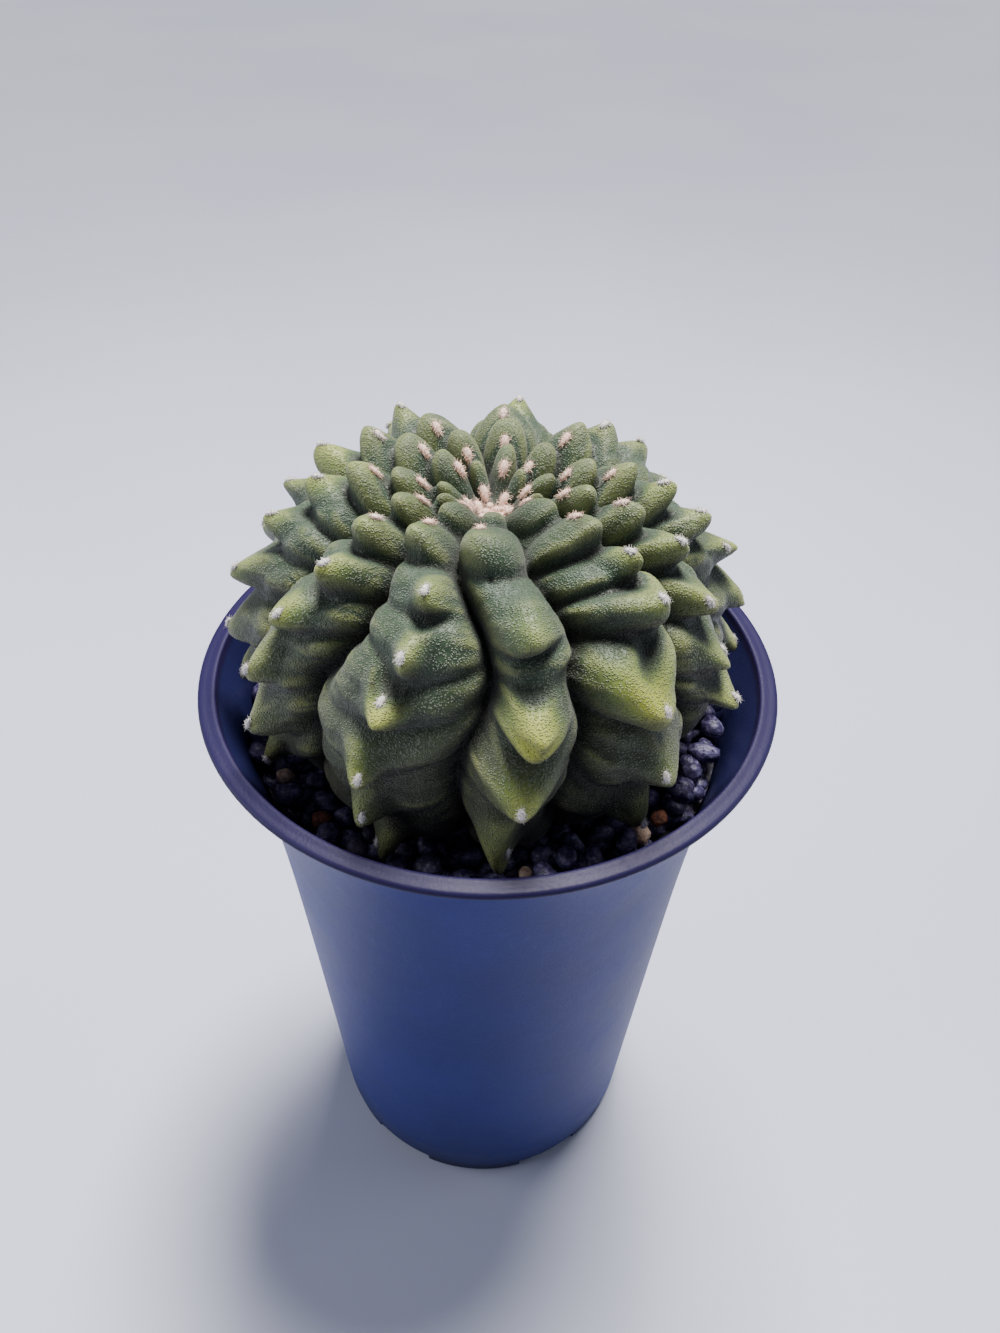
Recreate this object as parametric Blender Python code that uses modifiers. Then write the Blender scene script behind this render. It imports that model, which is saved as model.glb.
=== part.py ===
"""Round eleven-ribbed cactus growing in black grit in a deep flared nursery pot. Metres, +Z up.

The origin is the centre of the pot's foot, on the surface that it stands on. The front is -Y,
and azimuths are degrees from the front, positive towards +X.
Run with: blender --background --python part.py
"""

import math

import bmesh
import bpy
import numpy as np
from mathutils import Matrix, Vector
from mathutils.bvhtree import BVHTree

MM = 0.001
CLEARANCE = 0.3 * MM  # between pieces that touch

# Pot
RIM_RADIUS = 45.0 * MM
POT_HEIGHT = 118.0 * MM
FOOT_RADIUS = 31.5 * MM
NECK_RADIUS = 38.0 * MM  # where the straight wall, carried on, would meet the rim plane
FLARE_HEIGHT = 10.5 * MM  # height over which the wall's bend out to the lip dies away
WALL = 1.1 * MM
LIP_HEIGHT = 1.2 * MM
LIP_WIDTH = 2.8 * MM
LIP_OVERHANG = 0.9 * MM  # how far the lip stands out past the wall
LIP_EDGE = 0.4 * MM  # chamfer along the lip's upper edges
FLOOR_UNDERSIDE = 4.0 * MM  # height of the hollow under the pot
FLOOR_THICKNESS = 1.4 * MM
FOOT_RING = 1.6 * MM  # thickness of the wall at the foot, which the pot stands on
NOTCHES = 6
NOTCH_WIDTH = 13.0 * MM
NOTCH_HEIGHT = 2.2 * MM
NOTCH_FIRST_ANGLE = 58.0  # degrees from +X
CENTRE_DRAIN_RADIUS = 5.0 * MM
DRAIN_RADIUS = 3.5 * MM
DRAIN_CIRCLE_RADIUS = 19.0 * MM
TURNED_STEPS = 72
DRAIN_STEPS = 24

# Growing medium
GRIT_BELOW_RIM = 13.5 * MM
GRIT_THICKNESS = 5.0 * MM
MEDIUM_STEPS = 48

# Loose grains on the grit, each (azimuth, radius)
PEBBLE_TO_WALL = 2.8 * MM  # from a grain's centre
PEBBLE_FLATNESS = (1.0, 0.85, 0.8)
PALE_PEBBLES = ((40.0, 1.5 * MM), (10.0, 1.0 * MM), (-60.0, 1.2 * MM), (150.0, 1.4 * MM))
RED_PEBBLES = ((-42.0, 1.3 * MM), (47.0, 1.2 * MM), (-110.0, 1.3 * MM), (205.0, 1.2 * MM))

# Cactus body. Both curves run from the crown to the base and give (radius, height above the
# grit) in millimetres at STATIONS, the distance travelled: one along the bottoms of the furrows,
# one along the noses of the chins. The whole plant grows or shrinks to keep its place in the rim.
BODY_TO_LIP = 2.6 * MM
STATIONS = np.array((0.0, 6.0, 12.0, 18.0, 25.0, 33.0, 41.0, 50.0, 58.0, 66.0, 72.0))
FURROW_CURVE = np.array((
    (0.0, 40.1), (5.0, 39.9), (10.0, 39.3), (14.6, 38.3), (19.2, 36.3), (23.2, 33.1),
    (26.4, 28.7), (29.4, 22.7), (30.4, 15.5), (28.8, 8.3), (24.6, 2.5),
))
NOSE_CURVE = np.array((
    (0.0, 43.1), (6.0, 45.1), (12.5, 47.1), (19.0, 47.7), (26.4, 45.3), (33.0, 39.1),
    (37.4, 30.9), (39.6, 21.5), (39.2, 12.7), (36.2, 4.7), (29.0, 0.5),
))
BASE_STATION = 72.0
# Each rib is the (azimuth, station) of its chins, from the crown outwards.
RIBS = (
    ((2, 4.5), (-5, 15.5), (12, 30.5), (12, 35.5), (9, 42.0), (7, 50.5), (5, 60.0)),
    ((58, 8.0), (46, 17.0), (48, 24.5), (46, 31.0), (38, 42.5), (38, 53.0), (35, 61.0)),
    ((78, 5.0), (72, 12.5), (70, 20.0), (67, 28.0), (62, 36.0), (64, 44.0), (61, 52.5), (63, 61.0)),
    ((104, 7.5), (104, 13.0), (96, 18.5), (92, 24.5), (90, 31.0), (92, 39.0), (94, 48.0), (95, 57.0)),
    ((142, 5.5), (140, 10.5), (136, 17.0), (134, 23.5), (131, 31.5), (130, 40.5), (131, 49.5), (130, 58.0)),
    ((165, 8.5), (172, 14.0), (176, 20.0), (172, 27.5), (170, 36.0), (171, 45.0), (170, 54.0), (171, 62.0)),
    ((200, 6.0), (204, 11.5), (212, 18.0), (214, 26.0), (213, 34.5), (212, 43.0), (212, 52.0), (211, 60.5)),
    ((226, 9.0), (232, 15.0), (238, 21.0), (246, 28.0), (249, 36.0), (250, 44.5), (249, 53.0), (250, 61.0)),
    ((268, 6.0), (272, 12.0), (270, 18.0), (268, 25.0), (272, 33.0), (276, 41.0), (277, 50.0), (278, 59.0)),
    ((296, 6.5), (301, 13.0), (307, 20.0), (311, 28.0), (306, 36.5), (303, 45.0), (304, 53.5), (302, 63.0)),
    ((318, 8.0), (328, 16.5), (343, 26.0), (342, 34.0), (338, 40.5), (336, 50.0), (336, 57.0), (337, 64.5)),
)
# (rib, chin): (radius of the nose in mm, how far it reaches towards the nose curve)
NOSES = {
    (0, 1): (4.6, 1.04), (0, 2): (4.6, 0.93), (0, 3): (3.0, 0.68), (0, 4): (5.4, 1.06),
    (0, 5): (4.6, 1.02), (0, 6): (3.8, 1.06), (1, 3): (5.0, 1.04), (1, 4): (6.6, 1.00),
    (1, 5): (4.0, 0.98), (1, 6): (3.2, 1.00), (2, 5): (3.3, 0.94), (2, 6): (2.6, 0.62),
    (10, 2): (2.9, 0.98), (10, 3): (3.0, 1.02), (10, 4): (4.0, 1.00), (10, 5): (3.8, 0.96),
    (10, 6): (3.2, 0.96), (10, 7): (2.8, 1.00),
}
CROWN_NOSE = (2.6, 1.0)
SIDE_NOSE = (3.3, 1.0)
# How broad each rib is beside its neighbours, and how deep the creases across it are.
BREADTHS = np.array((0.95, 1.15, 1.0, 1.0, 1.0, 1.0, 1.0, 1.0, 1.0, 0.85, 1.5))
CREASE_DEPTHS = np.array((0.60, 1.0, 1.0, 1.0, 1.0, 1.0, 1.0, 1.0, 1.0, 1.0, 0.55))
HANG = 2.5  # how far a full chin hangs below the place that it grows from, in stations
CREASE = 0.42  # share of the way from one chin to the next at which the crease between them lies
WANDER = 1.1  # how far the creases wander, in stations
SWING = 1.8  # how far the furrows wander, in degrees
BODY_SEGMENTS = 108
BODY_ROWS = 50
ROOT_ROWS = 6
ROOT_DEPTH = 36.0 * MM

# Areole wool: one felt pad on each chin's upper side
AREOLE_RADIUS = 1.0 * MM
AREOLE_THICKNESS = 0.9 * MM
AREOLE_ABOVE_NOSE = (1.1, 2.4)  # stations back towards the crown, on an old chin and a young one
AREOLE_FIRST_STATION = 15.0
AREOLE_LAST_STATION = 44.5
CROWN_WOOL_RADIUS = 2.2 * MM
CROWN_WOOL_HEIGHT = 2.6 * MM
SMALL_PAD = 1.5 * MM  # pads with a smaller radius have fewer faces
WOOL_STEP = 0.05 * MM  # a pad is moved out by this much at a time until it clears the skin


def material(name, colour, roughness):
    made = bpy.data.materials.new(name)
    made.use_nodes = True
    shader = made.node_tree.nodes["Principled BSDF"]
    shader.inputs["Base Color"].default_value = (*colour, 1.0)
    shader.inputs["Roughness"].default_value = roughness
    shader.inputs["Metallic"].default_value = 0.0
    return made


def add(name, mesh, collection, finish=None):
    piece = bpy.data.objects.new(name, mesh)
    collection.objects.link(piece)
    if finish:
        mesh.materials.append(finish)
    return piece


def turned(name, profile, steps, collection, finish=None):
    """A solid turned about Z from a profile of (radius, height), listed from its top down its outside."""
    mesh = bpy.data.meshes.new(name)
    mesh.from_pydata([(radius, 0.0, height) for radius, height in profile],
                     [(i, i + 1) for i in range(len(profile) - 1)], [])
    piece = add(name, mesh, collection, finish)
    screw = piece.modifiers.new("Turn", "SCREW")
    screw.steps = screw.render_steps = steps
    screw.use_merge_vertices = True
    screw.merge_threshold = 0.00001
    screw.use_smooth_shade = True
    return piece


def cut(piece, cutter):
    cutter.hide_render = True
    cutter.display_type = "WIRE"
    boolean = piece.modifiers.new("Cut " + cutter.name, "BOOLEAN")
    boolean.operation = "DIFFERENCE"
    boolean.object = cutter


# --- Pot ------------------------------------------------------------------------------------

def wall_radius(height):
    """Outer radius of the pot's wall at a height."""
    straight = FOOT_RADIUS + (NECK_RADIUS - FOOT_RADIUS) * height / POT_HEIGHT
    flare = RIM_RADIUS - LIP_OVERHANG - NECK_RADIUS
    return straight + flare * math.exp((height - POT_HEIGHT) / FLARE_HEIGHT)


def wall_heights():
    """Heights at which the wall's outline has a point: closer together in the flare."""
    lip_underside = POT_HEIGHT - LIP_HEIGHT
    straight_top = POT_HEIGHT - 3.0 * FLARE_HEIGHT
    flare = [lip_underside - (lip_underside - straight_top) * i / 6 for i in range(7)]
    return flare + [straight_top / 2, FLOOR_UNDERSIDE + FLOOR_THICKNESS]


def inner_radius(height):
    return wall_radius(height) - WALL


def make_pot(collection, helpers):
    lip_inner = RIM_RADIUS - LIP_WIDTH
    floor_top = FLOOR_UNDERSIDE + FLOOR_THICKNESS
    outside = [(wall_radius(h), h) for h in wall_heights()] + [(wall_radius(0.0), 0.0)]
    lip = [
        (lip_inner, POT_HEIGHT - LIP_EDGE),
        (lip_inner + LIP_EDGE, POT_HEIGHT),
        (RIM_RADIUS - LIP_EDGE, POT_HEIGHT),
        (RIM_RADIUS, POT_HEIGHT - LIP_EDGE),
        (RIM_RADIUS, POT_HEIGHT - LIP_HEIGHT),
    ]
    foot_inner = wall_radius(0.0) - FOOT_RING
    under = [
        (foot_inner, 0.0),
        (foot_inner, FLOOR_UNDERSIDE),
        (0.0, FLOOR_UNDERSIDE),
    ]
    inside = [(0.0, floor_top), (inner_radius(floor_top), floor_top)]
    inside += [(inner_radius(h), h) for h in reversed(wall_heights()[1:-1])]
    pot = turned("pot", inside + lip + outside + under, TURNED_STEPS, collection,
                 material("pot_plastic", (0.020, 0.022, 0.060), 0.42))
    deep = 3.0 * FLOOR_THICKNESS
    middle = FLOOR_UNDERSIDE + FLOOR_THICKNESS / 2
    drains = [("centre_drain_cutter", CENTRE_DRAIN_RADIUS, 0.0, 0.0)]
    for i in range(NOTCHES):
        angle = math.radians(NOTCH_FIRST_ANGLE + 360.0 * i / NOTCHES)
        drains.append((f"drain_cutter_{i + 1}", DRAIN_RADIUS,
                       DRAIN_CIRCLE_RADIUS * math.cos(angle), DRAIN_CIRCLE_RADIUS * math.sin(angle)))
        notch = bpy.data.meshes.new(f"foot_notch_cutter_{i + 1}")
        shape = bmesh.new()
        bmesh.ops.create_cube(shape, size=1.0, matrix=Matrix.Rotation(angle, 4, "Z")
                              @ Matrix.Translation((FOOT_RADIUS, 0.0, 0.0))
                              @ Matrix.Diagonal((4.0 * FOOT_RING, NOTCH_WIDTH, 2.0 * NOTCH_HEIGHT, 1.0)))
        shape.to_mesh(notch)
        shape.free()
        cut(pot, add(notch.name, notch, helpers))
    for name, radius, x, y in drains:
        hole = bpy.data.meshes.new(name)
        shape = bmesh.new()
        bmesh.ops.create_cone(shape, cap_ends=True, segments=DRAIN_STEPS, radius1=radius,
                              radius2=radius, depth=deep, matrix=Matrix.Translation((x, y, middle)))
        shape.to_mesh(hole)
        shape.free()
        cut(pot, add(name, hole, helpers))


# --- Growing medium -------------------------------------------------------------------------

def grit_top():
    return POT_HEIGHT - GRIT_BELOW_RIM


def growth():
    """How large the plant is beside its drawn curves, so that it keeps its place in the rim."""
    return (RIM_RADIUS - LIP_WIDTH - BODY_TO_LIP) / (NOSE_CURVE[:, 0].max() * MM)


def root_outline():
    """(radius, height) down the smooth taproot, from the base of the body to its tip."""
    neck, top = FURROW_CURVE[-1] * MM * growth()
    top += grit_top()
    outline = []
    for i in range(ROOT_ROWS + 1):
        share = i / ROOT_ROWS
        outline.append((neck * math.sqrt(1.0 - share**1.6), top - ROOT_DEPTH * share))
    return outline


def socket_radius(height):
    """Radius of the hollow round the taproot at a height."""
    radii, heights = zip(*reversed(root_outline()))
    return float(np.interp(height + CLEARANCE, heights, radii)) + CLEARANCE


def make_potting_mix(collection):
    top = grit_top() - GRIT_THICKNESS - CLEARANCE
    floor = FLOOR_UNDERSIDE + FLOOR_THICKNESS + CLEARANCE
    outside = [(inner_radius(h) - CLEARANCE, h) for h in wall_heights() if floor < h < top - MM]
    outside = [(inner_radius(top) - CLEARANCE, top)] + outside
    outside += [(inner_radius(floor) - CLEARANCE, floor), (0.0, floor)]
    tip = root_outline()[-1][1]
    hollow = [(0.0, tip - 2.0 * CLEARANCE)]
    hollow += [(socket_radius(h - CLEARANCE), h - CLEARANCE) for _, h in reversed(root_outline()[:-1])
               if h < top - MM]
    hollow += [(socket_radius(top), top)]
    turned("potting_mix", hollow + outside, MEDIUM_STEPS, collection,
           material("potting_mix", (0.045, 0.030, 0.020), 0.95))


def make_grit(collection):
    top = grit_top()
    bottom = top - GRIT_THICKNESS
    inner = [(socket_radius(bottom), bottom), (socket_radius(top), top)]
    outer = [(inner_radius(top) - CLEARANCE, top), (inner_radius(bottom) - CLEARANCE, bottom)]
    turned("black_grit", inner + outer + inner[:1], MEDIUM_STEPS, collection,
           material("black_grit", (0.018, 0.016, 0.026), 0.5))


def make_pebble(name, azimuth, size, collection, finish):
    """A loose pebble lying on the grit."""
    mesh = bpy.data.meshes.new(name)
    shape = bmesh.new()
    bmesh.ops.create_icosphere(shape, subdivisions=1, radius=size)
    angle = math.radians(azimuth)
    radius_out = inner_radius(grit_top()) - PEBBLE_TO_WALL
    height = grit_top() + CLEARANCE + PEBBLE_FLATNESS[2] * size
    place = Matrix.Translation((radius_out * math.sin(angle), -radius_out * math.cos(angle), height))
    place = place @ Matrix.Rotation(2.4 * azimuth, 4, "Z") @ Matrix.Diagonal((*PEBBLE_FLATNESS, 1.0))
    bmesh.ops.transform(shape, matrix=place, verts=shape.verts)
    shape.to_mesh(mesh)
    shape.free()
    add(name, mesh, collection, finish)


def make_pebbles(collection):
    pumice = material("pumice", (0.62, 0.45, 0.32), 0.9)
    clay = material("red_clay", (0.22, 0.07, 0.04), 0.9)
    kinds = (("pumice_pebble", PALE_PEBBLES, pumice), ("clay_pebble", RED_PEBBLES, clay))
    for kind, places, finish in kinds:
        for i, (azimuth, size) in enumerate(places):
            make_pebble(f"{kind}_{i + 1}", azimuth, size, collection, finish)


# --- Cactus ---------------------------------------------------------------------------------

def through(at, values):
    """A smooth curve through values at the stations, read at other stations."""
    slope = np.gradient(values, STATIONS, axis=0)
    i = np.clip(np.searchsorted(STATIONS, at, side="right") - 1, 0, len(STATIONS) - 2)
    span = (STATIONS[i + 1] - STATIONS[i])[..., None]
    t = (at - STATIONS[i])[..., None] / span
    return (
        (2 * t**3 - 3 * t**2 + 1) * values[i] + (t**3 - 2 * t**2 + t) * span * slope[i]
        + (3 * t**2 - 2 * t**3) * values[i + 1] + (t**3 - t**2) * span * slope[i + 1]
    )


def rise(low, high, at):
    """0 below low, 1 above high, smooth between."""
    t = np.clip((at - low) / (high - low), 0.0, 1.0)
    return t * t * (3.0 - 2.0 * t)


def mixed(old, young, youth):
    return old + (young - old) * youth


def turned_by(angle):
    """An angle in degrees, between -180 and 180."""
    return (angle + 180.0) % 360.0 - 180.0


def hang(station):
    """How far a full chin at a station hangs."""
    return HANG * rise(12.0, 40.0, station)


def youth_of_chin(station):
    """1 for the knuckles of the crown, 0 for the broad chins of the sides."""
    return 1.0 - rise(14.0, 27.0, station)


def rib_line(rib, station):
    """Azimuth of a rib's crest at each station."""
    azimuths, places = zip(*rib)
    shifts = (-2.8, -1.4, 0.0, 1.4, 2.8)
    return sum(np.interp(station + shift, places, azimuths) for shift in shifts) / len(shifts)


def ripple(azimuth, station, seed, waves, longest):
    """Smooth seeded waviness over the body, about -1 to 1, closed round it."""
    random = np.random.default_rng(seed)
    total = np.zeros(np.broadcast(azimuth, station).shape)
    weight = 0.0
    for i in range(waves):
        turns = random.integers(3, 5 + 3 * i)
        length = longest / (1.0 + 0.45 * i)
        size = 1.0 / (1.0 + 0.35 * i)
        total = total + size * np.sin(np.radians(azimuth) * turns + 2 * math.pi * station / length
                                      * random.choice((-1.0, 1.0)) + random.uniform(0, 2 * math.pi))
        weight += size * size / 2.0
    return total / math.sqrt(weight) / 1.6


def rib_lift(number, azimuth, station, across, youth, wander):
    """How far one rib stands out, from 0 in its furrows to 1 on its noses, and the noses' share of it."""
    rib = RIBS[number]
    places = np.array([chin[1] - hang(chin[1]) for chin in rib], float)
    gaps = np.diff(places)
    gaps = np.concatenate((gaps[:1], gaps, gaps[-1:]))
    creases = np.concatenate(([places[0] - 0.75 * gaps[0]], places + CREASE * gaps[1:]))
    bow = mixed(0.42, 0.16, youth) * np.clip(across, 0.0, 1.1) ** mixed(1.8, 2.4, youth)
    warped = station + bow * np.interp(station, places, gaps[1:]) + wander
    k = np.clip(np.searchsorted(creases, warped.ravel()) - 1, 0, len(places) - 1).reshape(warped.shape)
    along = np.clip((warped - creases[k]) / (creases[k + 1] - creases[k]), 0.0, 1.0)
    peak = (places[k] - creases[k]) / (creases[k + 1] - creases[k])
    chin_youth = 1.0 - rise(12.0, 25.0, places[k])
    reach = np.where(along < peak, 1.0 - along / peak, (along - peak) / (1.0 - peak))
    power = np.where(along < peak, mixed(1.8, 2.0, chin_youth), mixed(2.2, 2.6, chin_youth))
    width = np.clip(across, 0.0, 1.0)
    dome = np.clip(1.0 - reach**power - mixed(0.35, 1.0, chin_youth) * width**2.4, 0.0, 1.0) ** 0.62
    shapes = []
    for chin_number, chin in enumerate(rib):
        usual = [mixed(old, new, youth_of_chin(chin[1])) for old, new in zip(SIDE_NOSE, CROWN_NOSE)]
        shapes.append(NOSES.get((number, chin_number), usual))
    size, reaches = (np.array(shapes)[:, column][k] for column in range(2))
    radius = through(station, NOSE_CURVE)[..., 0] * 0.92
    sideways = np.radians(turned_by(azimuth - np.array([chin[0] for chin in rib], float)[k])) * radius
    ahead = station - places[k]
    ahead = np.where(ahead < 0.0, 0.55 * ahead, ahead)
    nose = np.clip(1.10 - np.sqrt(sideways**2 + ahead**2 + 0.35) / size, 0.0, 1.0)
    keel = np.exp(-(sideways / 1.5) ** 2) * np.clip(1.0 - reach, 0.0, 1.0) * (along < peak)
    flank = (1.0 - width ** mixed(3.8, 2.8, youth)) ** 0.75
    share = mixed(0.30 * CREASE_DEPTHS[number], 0.52, chin_youth)
    body = mixed(0.70 - 0.20 * rise(46.0, 62.0, station), 0.98, chin_youth)
    ridge = (nose / (1.10 - 0.6 / size)) ** 1.2 + 0.16 * keel * (1.0 - chin_youth)
    lift = (flank * (1.0 - share) + dome * share) * body + (reaches - body) * ridge / 1.14
    return np.where(across > 1.3, -9.0, lift), nose


def body_lift(azimuth, station, wander):
    """How far the skin stands out from the furrow curve to the nose curve, and the nearest nose's share."""
    lines = [rib_line(rib, station) for rib in RIBS]
    youth = 1.0 - rise(13.0, 31.0, station)
    total = np.full(azimuth.shape, -9.0)
    nose = np.zeros(azimuth.shape)
    for number, line in enumerate(lines):
        following = (number + 1) % len(RIBS)
        own, last, coming = (mixed(BREADTHS[i], 1.0, youth) for i in (number, number - 1, following))
        before = (line - lines[number - 1]) % 360.0 * own / (own + last)
        after = (lines[following] - line) % 360.0 * own / (own + coming)
        off = turned_by(azimuth - line)
        across = np.abs(off) / np.where(off < 0.0, before, after)
        lift, own_nose = rib_lift(number, azimuth, station, across, youth, wander)
        nose = np.where(lift > total, own_nose, nose)
        total = np.maximum(total, lift)
    fade = rise(0.5, 7.0, station) * (1.0 - rise(66.0, 71.5, station))
    return np.clip(total, 0.0, 1.35) * fade, nose * fade


def skin(azimuth, station):
    """Points of the cactus's skin, in metres, at azimuths in degrees and stations from the crown."""
    age = rise(18.0, 36.0, station)
    wander = ripple(azimuth, station, 4, 9, 26.0) * WANDER * age
    swing = ripple(azimuth, station, 8, 7, 30.0) * SWING * age
    lift, nose = body_lift(azimuth + swing, station, wander)
    furrow = through(station, FURROW_CURVE)
    outer = through(station, NOSE_CURVE)
    ahead = through(np.clip(station + 0.5, 0.0, BASE_STATION), NOSE_CURVE)
    behind = through(np.clip(station - 0.5, 0.0, BASE_STATION), NOSE_CURVE)
    down = (ahead - behind) / np.linalg.norm(ahead - behind, axis=-1, keepdims=True)
    droop = hang(station) * (0.85 * nose**1.3 + 0.35 * np.clip(lift - 0.55, 0.0, 1.0))
    flat = furrow + (outer - furrow) * lift[..., None] + down * droop[..., None]
    angle = np.radians(azimuth)
    x = flat[..., 0] * np.sin(angle)
    y = -flat[..., 0] * np.cos(angle)
    return np.stack((x, y, flat[..., 1]), axis=-1) * MM * growth() + (0.0, 0.0, grit_top())


def make_body(collection):
    """A sphere's grid of quads laid over the skin, and below it over the smooth taproot.

    Returns its surface and its points, for the wool that sits on it.
    """
    mesh = bpy.data.meshes.new("cactus_body")
    shape = bmesh.new()
    rows = BODY_ROWS + ROOT_ROWS
    bmesh.ops.create_uvsphere(shape, u_segments=BODY_SEGMENTS, v_segments=rows, radius=1.0)
    verts = list(shape.verts)
    azimuths = np.array([math.degrees(math.atan2(vert.co.x, -vert.co.y)) for vert in verts])
    row = np.array([round(math.acos(max(-1.0, min(1.0, vert.co.z))) / math.pi * rows) for vert in verts])
    places = skin(azimuths, np.minimum(row, BODY_ROWS) * BASE_STATION / BODY_ROWS)
    outline = root_outline()
    for vert, number, azimuth, place in zip(verts, row, azimuths, places):
        vert.co = place
        if number > BODY_ROWS:
            radius, height = outline[number - BODY_ROWS]
            angle = math.radians(azimuth)
            vert.co = (radius * math.sin(angle), -radius * math.cos(angle), height)
    bmesh.ops.recalc_face_normals(shape, faces=shape.faces)
    shape.to_mesh(mesh)
    shape.free()
    mesh.shade_smooth()
    add("cactus_body", mesh, collection, material("cactus_skin", (0.10, 0.15, 0.05), 0.6))
    points = [vert.co for vert in mesh.vertices]
    return BVHTree.FromPolygons(points, [face.vertices for face in mesh.polygons]), points


def room_outside(surface, points):
    """Least distance from points to a closed surface, negative inside it."""
    room = math.inf
    for point in points:
        nearest, normal, _, distance = surface.find_nearest(point)
        room = min(room, distance if (point - nearest).dot(normal) > 0.0 else -distance)
    return room


def make_wool(name, centre, normal, radius, thickness, body, collection, finish):
    """A rounded felt pad facing along normal, moved out until it clears the skin by the clearance."""
    skin_tree, skin_points = body
    shape = bmesh.new()
    bmesh.ops.create_icosphere(shape, subdivisions=1 if radius < SMALL_PAD else 2, radius=1.0)
    place = Matrix.Translation(centre) @ normal.to_track_quat("Z", "Y").to_matrix().to_4x4()
    place = place @ Matrix.Diagonal((radius, radius, thickness / 2, 1.0))
    bmesh.ops.transform(shape, matrix=place, verts=shape.verts)
    near = [point for point in skin_points if (point - centre).length < 2.0 * radius]
    while (room_outside(skin_tree, [vert.co for vert in shape.verts]) < CLEARANCE
           or room_outside(BVHTree.FromBMesh(shape), near) < CLEARANCE):
        bmesh.ops.translate(shape, vec=normal * WOOL_STEP, verts=shape.verts)
    mesh = bpy.data.meshes.new(name)
    shape.to_mesh(mesh)
    shape.free()
    add(name, mesh, collection, finish)


def make_crown_wool(body, collection, finish):
    """The felt that fills the growing point, between the youngest chins."""
    top = Vector(skin(np.array([0.0]), np.array([0.0]))[0])
    make_wool("crown_wool", top, Vector((0.0, 0.0, 1.0)), CROWN_WOOL_RADIUS, CROWN_WOOL_HEIGHT,
              body, collection, finish)


def make_areoles(body, collection, finish):
    """One felt pad on the upper side of each chin, except on the crown's and the base's smallest."""
    for number, rib in enumerate(RIBS):
        for k, (azimuth, station) in enumerate(rib):
            if not AREOLE_FIRST_STATION <= station <= AREOLE_LAST_STATION:
                continue
            above = float(mixed(*AREOLE_ABOVE_NOSE, youth_of_chin(station)) + hang(station))
            point = Vector(skin(np.array([azimuth], float), np.array([station - above]))[0])
            nearest, normal, _, _ = body[0].find_nearest(point)
            make_wool(f"areole_wool_rib{number + 1:02d}_{k + 1}", nearest + normal * AREOLE_THICKNESS / 2,
                      normal, AREOLE_RADIUS, AREOLE_THICKNESS, body, collection, finish)


def main():
    for obj in list(bpy.data.objects):
        bpy.data.objects.remove(obj)
    parts = bpy.data.collections.new("potted_round_cactus")
    helpers = bpy.data.collections.new("cutters")
    bpy.context.scene.collection.children.link(parts)
    bpy.context.scene.collection.children.link(helpers)
    make_pot(parts, helpers)
    make_potting_mix(parts)
    make_grit(parts)
    make_pebbles(parts)
    body = make_body(parts)
    wool = material("areole_wool", (0.80, 0.68, 0.60), 0.95)
    make_crown_wool(body, parts, wool)
    make_areoles(body, parts, wool)


main()
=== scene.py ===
import math

import bmesh
import bpy
import numpy as np
from mathutils import Matrix, Vector


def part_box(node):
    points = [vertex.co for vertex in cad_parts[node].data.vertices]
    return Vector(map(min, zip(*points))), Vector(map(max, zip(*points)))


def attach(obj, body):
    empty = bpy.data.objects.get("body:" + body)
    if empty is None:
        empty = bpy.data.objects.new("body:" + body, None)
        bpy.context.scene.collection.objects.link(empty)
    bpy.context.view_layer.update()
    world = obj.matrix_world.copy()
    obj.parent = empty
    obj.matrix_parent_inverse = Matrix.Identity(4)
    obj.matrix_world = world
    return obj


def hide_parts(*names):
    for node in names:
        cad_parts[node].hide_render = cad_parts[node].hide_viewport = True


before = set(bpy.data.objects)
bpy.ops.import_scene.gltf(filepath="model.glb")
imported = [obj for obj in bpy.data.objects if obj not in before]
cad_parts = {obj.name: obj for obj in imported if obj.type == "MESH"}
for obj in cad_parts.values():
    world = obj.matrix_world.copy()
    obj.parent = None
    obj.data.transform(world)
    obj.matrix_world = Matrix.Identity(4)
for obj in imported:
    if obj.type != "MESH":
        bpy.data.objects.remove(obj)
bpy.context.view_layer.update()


# ----------------
# Pot. A deep flared nursery pot moulded in one piece from navy-black plastic,
# with a rolled lip, a notched foot that it stands on and drain holes in its
# floor. The outside is satin, finely grained and dusty, and lighter blue towards
# the foot. A darker band at the foot and the darker inner wall are painted shade.

MM = 0.001


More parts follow.
